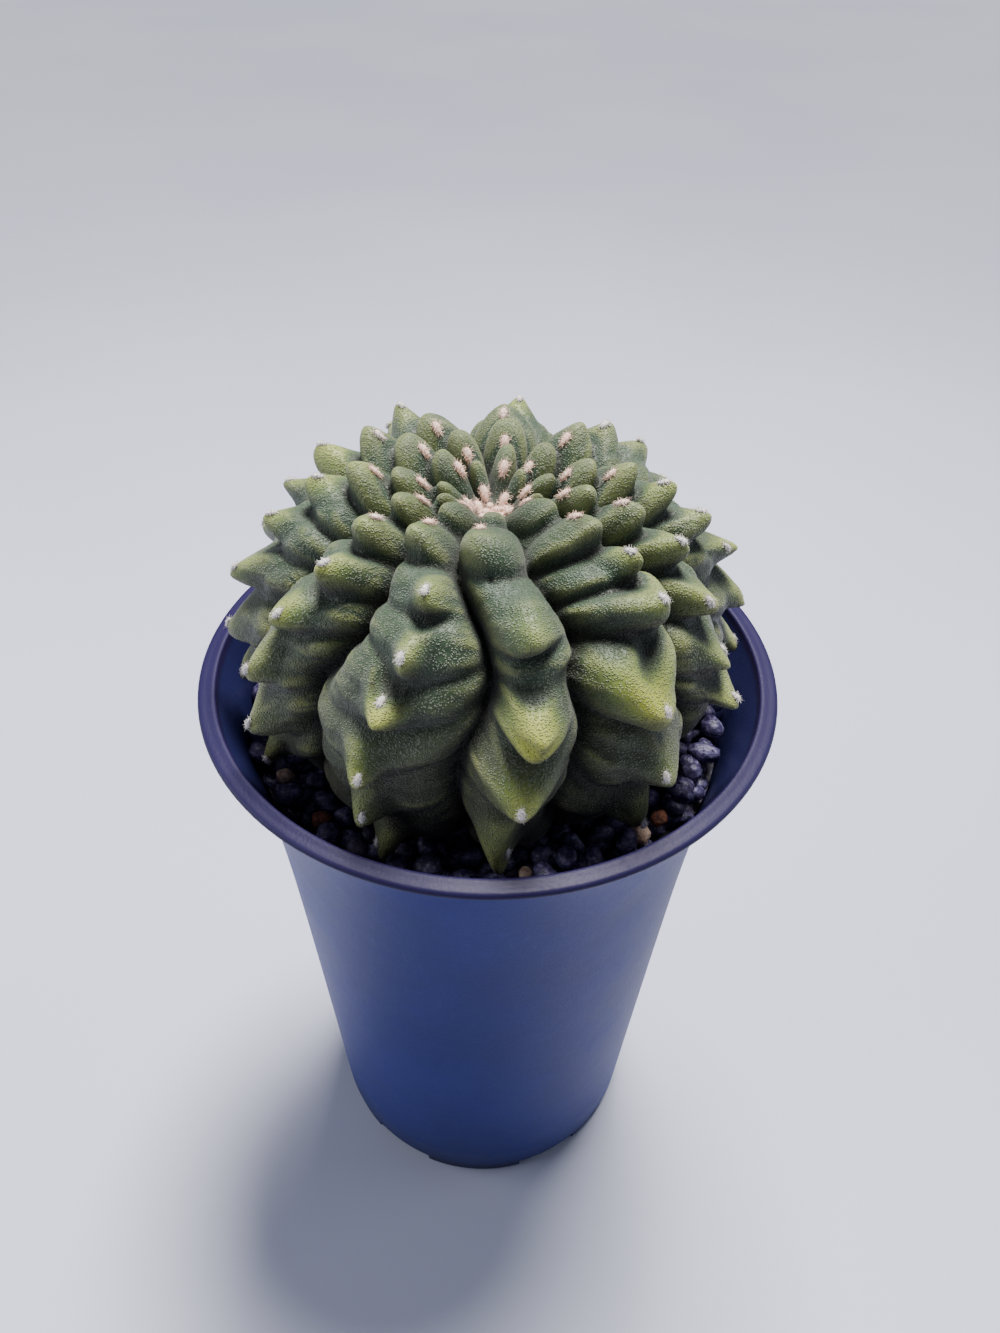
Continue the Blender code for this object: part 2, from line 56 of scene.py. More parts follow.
class Shade:
    """A number that varies over a surface. Arithmetic on it adds Math nodes to its material."""

    def __init__(self, tree, socket):
        self.tree = tree
        self.socket = socket

    @classmethod
    def make(cls, tree, kind, settings=None, inputs=None, output=0):
        """Adds one node: its settings first, then the values or links of its sockets."""
        node = tree.nodes.new(kind)
        for name, value in (settings or {}).items():
            setattr(node, name, value)
        for name, value in (inputs or {}).items():
            socket = node.inputs[name]
            if isinstance(value, Shade):
                tree.links.new(value.socket, socket)
            elif value is not None:
                is_colour = socket.type == "RGBA" and len(value) == 3
                socket.default_value = (*value, 1.0) if is_colour else value
        return cls(tree, node.outputs[output])

    def maths(self, operation, a, b=0.0, clamp=False):
        return self.make(self.tree, "ShaderNodeMath", {"operation": operation, "use_clamp": clamp},
                         {0: a, 1: b})

    def __add__(self, other):
        return self.maths("ADD", self, other)

    __radd__ = __add__

    def __mul__(self, other):
        return self.maths("MULTIPLY", self, other)

    __rmul__ = __mul__

    def __sub__(self, other):
        return self.maths("SUBTRACT", self, other)

    def __rsub__(self, other):
        return self.maths("SUBTRACT", other, self)

    def clamp(self):
        return self.maths("ADD", self, 0.0, clamp=True)

    def between(self, low, high):
        """0 at low, 1 at high, smooth between."""
        return self.make(self.tree, "ShaderNodeMapRange", {"interpolation_type": "SMOOTHSTEP"},
                         {"Value": self, "From Min": low, "From Max": high})

    def blend(self, first, second):
        """A colour between two, by this number."""
        colours = {0: self, 6: first, 7: second}
        return self.make(self.tree, "ShaderNodeMix", {"data_type": "RGBA"}, colours, 2)


class Finish:
    """A material being made. Values that are even all over go straight on the shader's own sockets."""

    def __init__(self, name, **even):
        self.material = bpy.data.materials.new(name)
        self.material.use_nodes = True
        self.tree = self.material.node_tree
        self.shader = self.tree.nodes["Principled BSDF"]
        for socket, value in even.items():
            self.shader.inputs[socket.replace("_", " ")].default_value = value
        self.place = self.make("ShaderNodeTexCoord", output="Object")
        self.height = self.make("ShaderNodeSeparateXYZ", None, {"Vector": self.place}, "Z")

    def make(self, kind, settings=None, inputs=None, output=0):
        return Shade.make(self.tree, kind, settings, inputs, output)

    def noise(self, grain, detail=3.0, rough=0.55, place=None, bend=0.0):
        """Cloudy noise whose grains are about that size, in metres."""
        inputs = {"Vector": place or self.place, "Scale": 1.0 / grain, "Detail": detail,
                  "Roughness": rough, "Distortion": bend}
        return self.make("ShaderNodeTexNoise", None, inputs, "Fac")

    def cells(self, size, output="Distance"):
        """Cells about that size, in metres: the distance from each one's middle, or its own Color."""
        inputs = {"Vector": self.place, "Scale": 1.0 / size}
        return self.make("ShaderNodeTexVoronoi", None, inputs, output)

    def stretched(self, x, y, z):
        """The place on the piece, scaled along each axis, so that a pattern on it is drawn out."""
        return self.make("ShaderNodeMapping", None, {"Vector": self.place, "Scale": (x, y, z)})

    def stored(self, name, output="Fac"):
        """An attribute stored on the piece's points."""
        return self.make("ShaderNodeAttribute", {"attribute_name": name}, None, output)

    def facing_up(self):
        """1 where the surface faces straight up, -1 where it faces straight down."""
        normal = self.make("ShaderNodeNewGeometry", output="Normal")
        return self.make("ShaderNodeSeparateXYZ", None, {"Vector": normal}, "Z")

    def facing_out(self):
        """Above 0 where the surface faces away from the upright axis, below 0 where it faces it."""
        normal = self.make("ShaderNodeNewGeometry", output="Normal")
        level = {0: self.place, 1: (1.0, 1.0, 0.0)}
        flat = self.make("ShaderNodeVectorMath", {"operation": "MULTIPLY"}, level)
        return self.make("ShaderNodeVectorMath", {"operation": "DOT_PRODUCT"}, {0: normal, 1: flat}, "Value")

    def finish(self, colour, rough, bumps=()):
        """The finished material. Each bump is a height from 0 to 1 and how deep it is, in metres."""
        self.tree.links.new(colour.socket, self.shader.inputs["Base Color"])
        self.tree.links.new(rough.socket, self.shader.inputs["Roughness"])
        normal = None
        for height, depth in bumps:
            normal = self.make("ShaderNodeBump", None, {"Height": height, "Distance": depth,
                                                        "Strength": 1.0, "Normal": normal})
        if normal:
            self.tree.links.new(normal.socket, self.shader.inputs["Normal"])
        return self.material


def coated(colour, *coats):
    """A colour with coats over it, each as (how much of it shows, its colour)."""
    for share, coat in coats:
        colour = share.blend(colour, coat)
    return colour


def linked(name, data):
    """A new object in the scene, made of that mesh, light or camera."""
    item = bpy.data.objects.new(name, data)
    bpy.context.scene.collection.objects.link(item)
    return item


def new_piece(name, mesh, material=None, stands_for=()):
    """A finished mesh as a piece of the object, riding on its one body."""
    piece = linked(name, mesh)
    if material:
        mesh.materials.append(material)
    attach(piece, "root")
    if stands_for:
        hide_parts(*stands_for)


def settled(piece):
    """The piece's mesh with its modifiers applied. The object that carried them is removed."""
    seen = piece.evaluated_get(bpy.context.evaluated_depsgraph_get())
    mesh = bpy.data.meshes.new_from_object(seen)
    mesh.name = piece.name
    bpy.data.objects.remove(piece)
    return mesh


pot_low, pot_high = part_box("pot")
rim_radius = (pot_high.x - pot_low.x) / 2
pot_height = pot_high.z
foot_radius = 31.5 * MM
neck_radius = 38.0 * MM
lip_overhang = 0.9 * MM
flare = rim_radius - lip_overhang - neck_radius
flare_height = 10.5 * MM
wall = 1.1 * MM
lip_width = 2.8 * MM
lip_height = 1.2 * MM
lip_under_height = pot_height - lip_height
foot_ring = 1.6 * MM
foot_band = 3.2 * MM
band_step = 0.25 * MM
floor_underside = 4.0 * MM
floor_top = 5.4 * MM
floor_corner = 2.0 * MM
notches = 6
first_notch_angle = -2.0
notch_depth, notch_width, notch_height = 6.0 * MM, 13.0 * MM, 2.2 * MM
drain_radius = 3.5 * MM
drain_circle = 19.0 * MM
middle_drain_radius = 5.0 * MM
drill_length = 6.0 * MM


def wall_radius(height):
    """Outer radius of the wall: a straight taper, with a flare that swells towards the rim."""
    straight = foot_radius + (neck_radius - foot_radius) * height / pot_height
    return straight + flare * math.exp((height - pot_height) / flare_height)


# The lip's outline from its inner edge: (how far out, how far down from the top), in mm.
lip_outline = (
    (0.0, 0.75), (0.02, 0.35), (0.12, 0.10), (0.35, 0.0), (0.75, 0.02), (1.15, 0.14), (1.7, 0.20),
    (2.2, 0.22), (2.55, 0.34), (2.74, 0.58), (2.8, 0.80), (2.76, 1.05), (2.60, 1.2), (2.2, 1.24),
)


def pot_profile():
    """(radius, height) from the middle of the floor, up the inside, over the lip and down to the foot."""
    corner_top = floor_top + floor_corner
    points = [(0.0, floor_top), (wall_radius(floor_top) - wall - floor_corner, floor_top),
              (wall_radius(corner_top) - wall, corner_top)]
    rows = 26
    for i in range(1, rows + 1):
        height = corner_top + (lip_under_height - MM - corner_top) * (i / rows) ** 0.8
        points.append((wall_radius(height) - wall, height))
    for out, down in lip_outline:
        points.append((rim_radius - lip_width + out * MM, pot_height - down * MM))
    for i in range(1, rows + 1):
        height = lip_under_height - 0.3 * MM - (lip_under_height - 3.6 * MM) * (i / rows) ** 1.4
        points.append((wall_radius(height), height))
    ring_inner = foot_radius - foot_ring
    points += [(wall_radius(foot_band) - band_step, foot_band), (foot_radius - band_step, 0.45 * MM),
               (foot_radius - 0.55 * MM, 0.0), (ring_inner + 0.2 * MM, 0.0), (ring_inner, 0.3 * MM),
               (ring_inner - 0.1 * MM, floor_underside), (0.0, floor_underside)]
    return points


mesh = bpy.data.meshes.new("pot_shell")
profile = pot_profile()
mesh.from_pydata([(radius, 0.0, height) for radius, height in profile],
                 [(i, i + 1) for i in range(len(profile) - 1)], [])
turned_pot = linked("pot_shell", mesh)
screw = turned_pot.modifiers.new("Turn", "SCREW")
screw.steps = screw.render_steps = 192
screw.use_merge_vertices = True
screw.merge_threshold = 0.00001
screw.use_smooth_shade = True


def cutter(name, place, drill=None, sides=40):
    """Cuts the pot with a unit block where the matrix puts it, or with a drill of that radius."""
    shape = bmesh.new()
    if drill:
        bmesh.ops.create_cone(shape, cap_ends=True, segments=sides, radius1=drill, radius2=drill,
                              depth=drill_length, matrix=place)
    else:
        bmesh.ops.create_cube(shape, size=1.0, matrix=place)
    cutter_mesh = bpy.data.meshes.new(name)
    shape.to_mesh(cutter_mesh)
    shape.free()
    holder = linked(name, cutter_mesh)
    cut = turned_pot.modifiers.new("Cut", "BOOLEAN")
    cut.operation = "DIFFERENCE"
    cut.object = holder
    return holder


floor_middle = (floor_underside + floor_top) / 2
block = Matrix.Diagonal((notch_depth, notch_width, 2.0 * notch_height, 1.0))
cutters = []
for i in range(notches):
    spin = Matrix.Rotation(math.radians(first_notch_angle + 360.0 / notches * i), 4, "Z")
    at_foot = spin @ Matrix.Translation((foot_radius, 0.0, 0.0))
    at_drain = spin @ Matrix.Translation((drain_circle, 0.0, floor_middle))
    cutters.append(cutter(f"notch_{i}", at_foot @ block))
    cutters.append(cutter(f"drain_{i}", at_drain, drain_radius))
at_middle = Matrix.Translation((0.0, 0.0, floor_middle))
cutters.append(cutter("drain_middle", at_middle, middle_drain_radius, 48))
shell = settled(turned_pot)
for holder in cutters:
    bpy.data.objects.remove(holder)

plastic = Finish("pot_plastic", Specular_IOR_Level=0.22)
cloud = plastic.noise(22 * MM, 3.0)
fine = plastic.noise(0.45 * MM, 2.0)
dust = (plastic.noise(3.0 * MM, 6.0, 0.65) * cloud).between(0.30, 0.50)
scratches = plastic.noise(0.6 * MM, 2.0, 0.6, plastic.stretched(1.0, 1.0, 0.06)).between(0.62, 0.80)
# Painted shade: a darker band round the foot, where the wall tucks under.
foot_shade = 1.0 - plastic.height.between(2.8 * MM, 4.0 * MM)
lip_band = plastic.height.between(lip_under_height - 0.5 * MM, lip_under_height + 0.2 * MM)
low_wall = 1.0 - plastic.height.between(8.0 * MM, 80.0 * MM)
# Painted shade: the inner wall, which faces the axis, is darker.
inner_wall_shade = 1.0 - plastic.facing_out().between(-30.0 * MM, -2.0 * MM)
shine = (cloud * 0.5 + fine * 0.5).between(0.2, 0.8)
navy = coated(
    cloud.between(0.3, 0.7).blend((0.012, 0.019, 0.122), (0.017, 0.026, 0.160)),
    (dust * 0.14, (0.18, 0.20, 0.42)),
    (scratches * 0.10, (0.12, 0.13, 0.26)),
    (low_wall * 0.35, (0.036, 0.048, 0.20)),
    (foot_shade * 0.7, (0.010, 0.013, 0.055)),
    (inner_wall_shade * 0.85, (0.009, 0.009, 0.040)),
    (lip_band * 0.95, (0.013, 0.008, 0.044)),
)
plastic_done = plastic.finish(navy, shine * 0.10 + 0.44 + dust * 0.12,
                              [(cloud, 0.25 * MM), (fine, 0.035 * MM)])
new_piece("pot_shell", shell, plastic_done, ["pot"])


# ----------------
# Potting mix. Dark peat and bark with a little pumice, filled round the root
# up to the grit. It shows only through the drain holes.

peat = Finish("potting_mix")
crumbs = peat.cells(2.2 * MM)
specks = peat.cells(3.1 * MM, "Color")
speck_tone = peat.make("ShaderNodeSeparateColor", None, {"Color": specks}, "Red")
brown = coated(crumbs.between(0.0, 0.6).blend((0.060, 0.038, 0.022), (0.012, 0.008, 0.006)),
               (speck_tone.between(0.90, 0.93), (0.36, 0.31, 0.24)))
peat_done = peat.finish(brown, peat.noise(1.5 * MM) * 0.1 + 0.85, [(crumbs, -0.8 * MM)])
for piece_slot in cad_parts["potting_mix"].material_slots:
    piece_slot.material = peat_done


# ----------------
# Cactus body. One living body that grew as eleven ribs, each broken into chins
# that point outwards and down. Its skin is matt and velvety, olive to grey-green
# with fine pale papillae, and yellow-green where a nose has caught the sun.
# Painted highlights lie on raised parts and crests and partly on the papillae,
# and painted shade lies in hollows and creases, under the chins and low in the
# furrows.

# Distance along the body from its crown, in mm, and there the (radius, height above the rim)
# of the bottoms of the furrows and of the noses of the chins.
stations = np.array((0.0, 6.0, 12.0, 18.0, 25.0, 33.0, 41.0, 50.0, 58.0, 66.0, 72.0))
body_length = stations[-1]
furrow_curve = np.array((
    (0.0, 26.6), (5.0, 26.4), (10.0, 25.8), (14.6, 24.8), (19.2, 22.8), (23.2, 19.6),
    (26.4, 15.2), (29.4, 9.2), (30.4, 2.0), (28.8, -5.2), (24.6, -11.0),
))
nose_curve = np.array((
    (0.0, 29.6), (6.0, 31.6), (12.5, 33.6), (19.0, 34.2), (26.4, 31.8), (33.0, 25.6),
    (37.4, 17.4), (39.6, 8.0), (39.2, -0.8), (36.2, -8.8), (29.0, -13.0),
))
# Each rib's chins as (azimuth from the front, station), from the crown outwards.
ribs = (
    ((2, 4.5), (-5, 15.5), (12, 30.5), (12, 35.5), (9, 42.0), (7, 50.5), (5, 60.0)),
    ((58, 8.0), (46, 17.0), (48, 24.5), (46, 31.0), (38, 42.5), (38, 53.0), (35, 61.0)),
    ((78, 5.0), (72, 12.5), (70, 20.0), (67, 28.0), (62, 36.0), (64, 44.0), (63, 50.5), (63, 61.0)),
    ((104, 7.5), (104, 13.0), (96, 18.5), (92, 24.5), (90, 31.0), (92, 39.0), (94, 48.0), (95, 57.0)),
    ((142, 5.5), (140, 10.5), (136, 17.0), (134, 23.5), (131, 31.5), (130, 40.5), (131, 49.5), (130, 58.0)),
    ((165, 8.5), (172, 14.0), (176, 20.0), (172, 27.5), (170, 36.0), (171, 45.0), (170, 54.0), (171, 62.0)),
    ((200, 6.0), (204, 11.5), (212, 18.0), (214, 26.0), (213, 34.5), (212, 43.0), (212, 52.0), (211, 60.5)),
    ((226, 9.0), (232, 15.0), (238, 21.0), (246, 28.0), (249, 36.0), (250, 44.5), (249, 53.0), (250, 61.0)),
    ((268, 6.0), (272, 12.0), (270, 18.0), (268, 25.0), (272, 33.0), (276, 41.0), (277, 50.0), (278, 59.0)),
    ((296, 6.5), (301, 13.0), (307, 20.0), (311, 28.0), (306, 36.5), (303, 45.0), (304, 53.5), (302, 63.0)),
    ((318, 8.0), (328, 16.5), (343, 26.0), (342, 34.0), (338, 40.5), (336, 50.0), (336, 57.0), (337, 64.5)),
)
# (rib, chin): (radius of the nose in mm, how far it reaches towards the nose curve, how sunned it is).
# The others vary round crown_nose and side_nose, each by up to its share in nose_variety.
noses = {
    (0, 1): (4.6, 1.04, 0.4), (0, 2): (4.6, 0.93, 0.6), (0, 3): (0.6, 0.72, 0.0),
    (0, 4): (5.4, 1.06, 1.2), (0, 5): (4.6, 1.02, 0.8), (0, 6): (3.8, 1.06, 0.8),
    (1, 3): (5.0, 1.04, 0.6), (1, 4): (8.6, 1.00, 0.95), (1, 5): (4.0, 0.98, 0.5),
    (1, 6): (3.2, 1.00, 0.6), (2, 5): (3.3, 0.94, 0.7), (2, 6): (3.4, 1.02, 0.8),
    (2, 7): (0.6, 0.50, 0.0), (10, 2): (2.9, 0.98, 0.8), (10, 3): (3.0, 1.02, 0.8),
    (10, 4): (4.0, 1.00, 1.0), (10, 5): (3.8, 0.96, 0.8), (10, 6): (3.2, 0.96, 0.7),
    (10, 7): (2.8, 1.00, 0.7),
}
crown_nose = (2.6, 1.00, 0.35)
side_nose = (3.3, 1.00, 0.75)
nose_variety = (0.2, 0.05, 0.5)
# What differs between the ribs: breadth beside the neighbours', depth of the creases across, and the
# edge down each chin to its nose, with its height as a share of the nose's and its breadth in mm.
usual_rib = (1.0, 1.0, 0.16, 1.5)
odd_ribs = {0: (0.86, 0.32, 0.34, 2.3), 1: (1.15, 1.0, 0.10, 2.0), 9: (0.85, 1.0, 0.16, 1.5),
            10: (1.5, 0.55, 0.20, 1.8)}
rib_traits = np.array([odd_ribs.get(number, usual_rib) for number in range(len(ribs))])
breadths, crease_depths, edge_heights, edge_breadths = rib_traits.T
# How a chin is shaped, as (old, young): how its creases bow down at its sides, how blunt it is above and
# below its nose, how its dome and flanks fall to the sides, and how high its dome is.
bows = (0.42, 0.24)
bow_sharpness = (1.8, 2.4)
blunt_above = (1.8, 2.0)
blunt_below = (2.2, 2.6)
side_falls = (0.35, 1.0)
blunt_flanks = (3.8, 2.8)
dome_shares = (0.30, 0.52)
dome_heights = (0.70, 0.98)
# How far down towards the next chin a crease lies, and where a nose's slopes blend into the dome.
crease_place = 0.42
nose_blend = (0.55, 1.0)
# How far an old chin hangs, how far the creases wander up and down, and how high or deep the small lumps,
# folds and creases are, all in mm, and how far the furrows swing to the side, in degrees.
longest_hang = 2.5
furrow_swing = 1.8
crease_wander = 1.1
lump_height = 0.25
fold_depth = 0.75
fine_crease_depth = 0.28
# The low skin on the right is tucked in: where, how broadly in degrees, and how far in mm.
tuck_azimuth, tuck_breadth, tuck_depth = 72.0, 24.0, 3.6


def through(at, values):
    """A smooth curve through values at the stations, read at other stations."""
    slope = np.gradient(values, stations, axis=0)
    i = np.clip(np.searchsorted(stations, at, side="right") - 1, 0, len(stations) - 2)
    span = (stations[i + 1] - stations[i])[..., None]
    t = (at - stations[i])[..., None] / span
    return (
        (2 * t**3 - 3 * t**2 + 1) * values[i] + (t**3 - 2 * t**2 + t) * span * slope[i]
        + (3 * t**2 - 2 * t**3) * values[i + 1] + (t**3 - t**2) * span * slope[i + 1]
    )


def rise(low, high, at):
    """0 up to low, 1 from high on, smooth between."""
    t = np.clip((at - low) / (high - low), 0.0, 1.0)
    return t * t * (3.0 - 2.0 * t)


def mixed(a, b, share):
    """a where the share is 0, b where it is 1."""
    return a + (b - a) * share


def turned_by(angle):
    """The same turn as an angle from -180 to 180 degrees."""
    return (angle + 180.0) % 360.0 - 180.0


def rib_line(rib, station):
    """Azimuth of a rib's crest at each station."""
    places = np.array([chin[1] for chin in rib], float)
    azimuths = np.array([chin[0] for chin in rib], float)
    smooth = np.interp(station, places, azimuths)
    for shift in (-2.0, -1.0, 1.0, 2.0):
        smooth = smooth + np.interp(station + 1.4 * shift, places, azimuths)
    return smooth / 5.0


def hang(station):
    """How far a chin's nose hangs below the place that it grows from, in mm."""
    return longest_hang * rise(12.0, 40.0, station)


def youth_at(station):
    """1 for a young chin round the crown, 0 for an old one on the side."""
    return float(1.0 - rise(14.0, 27.0, station))


def noses_of(number, random):
    """(radius, reach, sunned share) of the nose of each chin of a rib."""
    shapes = []
    for k, (_, station) in enumerate(ribs[number]):
        usual = []
        for old, young, vary in zip(side_nose, crown_nose, nose_variety):
            usual.append(mixed(old, young, youth_at(station)) * random.uniform(1.0 - vary, 1.0 + vary))
        shapes.append(noses.get((number, k), usual))
    return np.array(shapes)


def body_lift(azimuth, station, wander):
    """How far the skin stands out (0 in a furrow, 1 on a nose), the nose's share in that, how deep it is
    in a crease between chins, how far to the side of its rib, and how sunned."""
    off_the_rib = -9.0
    lines = [rib_line(rib, station) for rib in ribs]
    radius = 0.92 * through(station, nose_curve)[..., 0]
    youth = 1.0 - rise(13.0, 31.0, station)
    total = np.full(azimuth.shape, off_the_rib)
    nose_share, creased, side, sunned = (np.zeros(azimuth.shape) for _ in range(4))
    random = np.random.default_rng(31)
    for number, rib in enumerate(ribs):
        # Across the rib: 0 on its line, 1 in the furrows on either side of it.
        breadth, last, following = (mixed(breadths[i % len(ribs)], 1.0, youth)
                                    for i in (number, number - 1, number + 1))
        next_line = lines[(number + 1) % len(ribs)]
        before = (lines[number] - lines[number - 1]) % 360.0 * breadth / (breadth + last)
        after = (next_line - lines[number]) % 360.0 * breadth / (breadth + following)
        off = turned_by(azimuth - lines[number])
        across = np.abs(off) / np.where(off < 0.0, before, after)
        width = np.clip(across, 0.0, 1.0)

        # Along the rib: which chin each point is on, and how near it is to that chin's bowed edges.
        places = np.array([chin[1] - hang(chin[1]) for chin in rib], float)
        gaps = np.diff(places)
        gaps = np.concatenate((gaps[:1], gaps, gaps[-1:]))
        edges = np.concatenate(([places[0] - 0.75 * gaps[0]], places + crease_place * gaps[1:]))
        bow = mixed(*bows, youth) * np.clip(across, 0.0, 1.1) ** mixed(*bow_sharpness, youth)
        warped = station + bow * np.interp(station, places, gaps[1:]) + wander
        k = np.clip(np.searchsorted(edges, warped.ravel()) - 1, 0, len(places) - 1).reshape(warped.shape)
        along = np.clip((warped - edges[k]) / (edges[k + 1] - edges[k]), 0.0, 1.0)
        peak = (places[k] - edges[k]) / (edges[k + 1] - edges[k])
        reach = np.where(along < peak, 1.0 - along / peak, (along - peak) / (1.0 - peak))

        # The chin's dome.
        chin_youth = 1.0 - rise(12.0, 25.0, places[k])
        power = np.where(along < peak, mixed(*blunt_above, chin_youth), mixed(*blunt_below, chin_youth))
        sides = mixed(*side_falls, chin_youth) * width**2.4
        dome = np.clip(1.0 - reach**power - sides, 0.0, 1.0) ** 0.62

        # Its pointed nose, and the edge that runs down to it.
        size, reaches, sun = np.moveaxis(noses_of(number, random)[k], -1, 0)
        chin_azimuth = np.array([chin[0] for chin in rib], float)[k]
        sideways = np.radians(turned_by(azimuth - chin_azimuth)) * radius
        ahead = station - places[k]
        ahead = np.where(ahead < 0.0, 0.55 * ahead, ahead)
        nose = np.clip(1.10 - np.sqrt(sideways**2 + ahead**2 + 0.35) / size, 0.0, 1.0)
        nose = nose * (1.0 - rise(*nose_blend, reach))
        keel = np.exp(-(sideways / edge_breadths[number]) ** 2) * np.clip(1.0 - reach, 0.0, 1.0)
        keel = keel * np.where(along < peak, 1.0 - chin_youth, 1.1 * chin_youth)

        # The rib's flank, with the dome and the nose on it.
        flank = (1.0 - width ** mixed(*blunt_flanks, youth)) ** 0.75
        dome_share = mixed(dome_shares[0] * crease_depths[number], dome_shares[1], chin_youth)
        old_height = dome_heights[0] - 0.20 * rise(46.0, 62.0, station)
        dome_height = mixed(old_height, dome_heights[1], chin_youth)
        lift = (flank * (1.0 - dome_share) + dome * dome_share) * dome_height
        point = (nose / (1.10 - 0.6 / size)) ** 1.2 + edge_heights[number] * keel
        lift = lift + (reaches - dome_height) * point / 1.14
        lift = np.where(across > 1.3, off_the_rib, lift)

        outermost = lift > total
        nose_share = np.where(outermost, nose, nose_share)
        sunned = np.where(outermost, nose * sun, sunned)
        creased = np.where(outermost, reach**2, creased)
        side = np.where(outermost, width, side)
        total = np.where(outermost, lift, total)
    fade = rise(0.5, 7.0, station) * (1.0 - rise(66.0, 71.5, station))
    return np.clip(total, 0.0, 1.35) * fade, nose_share * fade, creased, side, sunned * fade


def ripple(azimuth, station, seed, waves, longest):
    """Smooth seeded waviness over the body, about -1 to 1, closed round it."""
    random = np.random.default_rng(seed)
    total = np.zeros(np.broadcast(azimuth, station).shape)
    weight = 0.0
    for i in range(waves):
        turns = random.integers(3, 5 + 3 * i)
        length = longest / (1.0 + 0.45 * i)
        size = 1.0 / (1.0 + 0.35 * i)
        total = total + size * np.sin(np.radians(azimuth) * turns + 2 * math.pi * station / length
                                      * random.choice((-1.0, 1.0)) + random.uniform(0, 2 * math.pi))
        weight += size * size / 2.0
    return total / math.sqrt(weight) / 1.6


def skin(azimuth, station):
    """Points of the skin in metres, and what its colours follow."""
    furrow = through(station, furrow_curve)
    nose_line = through(station, nose_curve)
    age = rise(18.0, 36.0, station)
    wander = ripple(azimuth, station, seed=4, waves=9, longest=26.0) * crease_wander * age
    swing = ripple(azimuth, station, seed=8, waves=7, longest=30.0) * furrow_swing * age
    lift, nose, creased, side, sunned = body_lift(azimuth + swing, station, wander)
    out = furrow + (nose_line - furrow) * lift[..., None]

    # The noses hang down, and the rest of each chin a little.
    ahead = through(np.clip(station + 0.5, 0.0, body_length), nose_curve)
    behind = through(np.clip(station - 0.5, 0.0, body_length), nose_curve)
    down = (ahead - behind) / (np.linalg.norm(ahead - behind, axis=-1, keepdims=True) + 1e-9)
    droop = hang(station) * (0.85 * nose**1.3 + 0.35 * np.clip(lift - 0.55, 0.0, 1.0))
    out = out + down * droop[..., None]

    # Small lumps, and folds and fine creases that stop at the noses.
    folds = np.clip(np.abs(ripple(azimuth, station, seed=15, waves=9, longest=11.0)) / 0.20, 0.0, 1.0)
    folds = (1.0 - folds) ** 1.5 * age * (0.35 + 0.65 * side) * (1.0 - nose)
    creases = ripple(2.0 * azimuth, station, seed=52, waves=8, longest=7.0)
    creases = (1.0 - np.clip(np.abs(creases) / 0.24, 0.0, 1.0)) ** 1.5
    creases = creases * rise(8.0, 22.0, station) * (1.0 - nose)
    lumps = ripple(azimuth, station, seed=23, waves=10, longest=12.0) * rise(6.0, 20.0, station)
    shallow = 1.0 - rise(68.0, body_length, station)
    relief = lump_height * lumps - fold_depth * folds - fine_crease_depth * creases
    relief = relief * shallow * (1.0 - 0.8 * creased)
    normal = np.stack((-down[..., 1], down[..., 0]), axis=-1)
    out = out + normal * relief[..., None]

    tucked = np.exp(-(turned_by(azimuth - tuck_azimuth) / tuck_breadth) ** 2)
    tucked = tucked * rise(52.0, 61.0, station) * shallow
    radius = out[..., 0] - tuck_depth * tucked
    angle = np.radians(azimuth)
    x = radius * np.sin(angle)
    y = -radius * np.cos(angle)
    z = pot_height / MM + out[..., 1]
    standing = np.linalg.norm(nose_line - furrow, axis=-1) * lift + relief
    return np.stack((x, y, z), axis=-1) * MM, {"sunned": sunned, "standing": standing, "creased": creased}


def smoothed(values, down, around):
    """Values on the body's grid, blurred over that many rows and columns."""
    doubled = np.concatenate((values, values[::-1]))
    wave = np.fft.fft2(doubled)
    rows_wave = np.fft.fftfreq(doubled.shape[0])[:, None] * down
    round_wave = np.fft.fftfreq(doubled.shape[1])[None] * around
    wave *= np.exp(-2.0 * math.pi**2 * (rows_wave**2 + round_wave**2))
    return np.fft.ifft2(wave).real[:len(values)]


columns = 520
skin_rows = 172
azimuths = np.linspace(-180.0, 180.0, columns, endpoint=False)
rows = body_length * np.linspace(0.0, 1.0, skin_rows + 1)[1:]
places, traits = skin(*np.meshgrid(azimuths, rows))
# The skin is smoothed a little everywhere, and more in the creases between chins.
standing = traits.pop("standing")
in_crease = 0.6 * rise(0.70, 1.0, traits.pop("creased"))[..., None]
smooth_skin = np.stack([smoothed(places[..., axis], 0.9, 0.6) for axis in range(3)], axis=-1)
rounded_skin = np.stack([smoothed(places[..., axis], 2.0, 1.2) for axis in range(3)], axis=-1)
places = mixed(smooth_skin, rounded_skin, in_crease)
# Stored for the colours: how far the skin stands above the skin near it (ridge) and above that in a
# wider circle (swell), and its place on a plain cylinder, squeezed so that streaks run down it (flow).
# Ridge and swell place painted highlights on raised parts and crests and painted shade in hollows and
# creases.
traits["ridge"] = standing - smoothed(standing, 2.2, 2.2)
traits["swell"] = standing - smoothed(standing, 8.0, 8.0)
flow_radius = 38.0 * MM
turn = np.radians(np.tile(azimuths, (skin_rows, 1)))
flow_places = np.stack((flow_radius * np.sin(turn), -flow_radius * np.cos(turn),
                        np.tile(0.3 * MM * rows[:, None], (1, columns))), axis=-1).reshape(-1, 3)
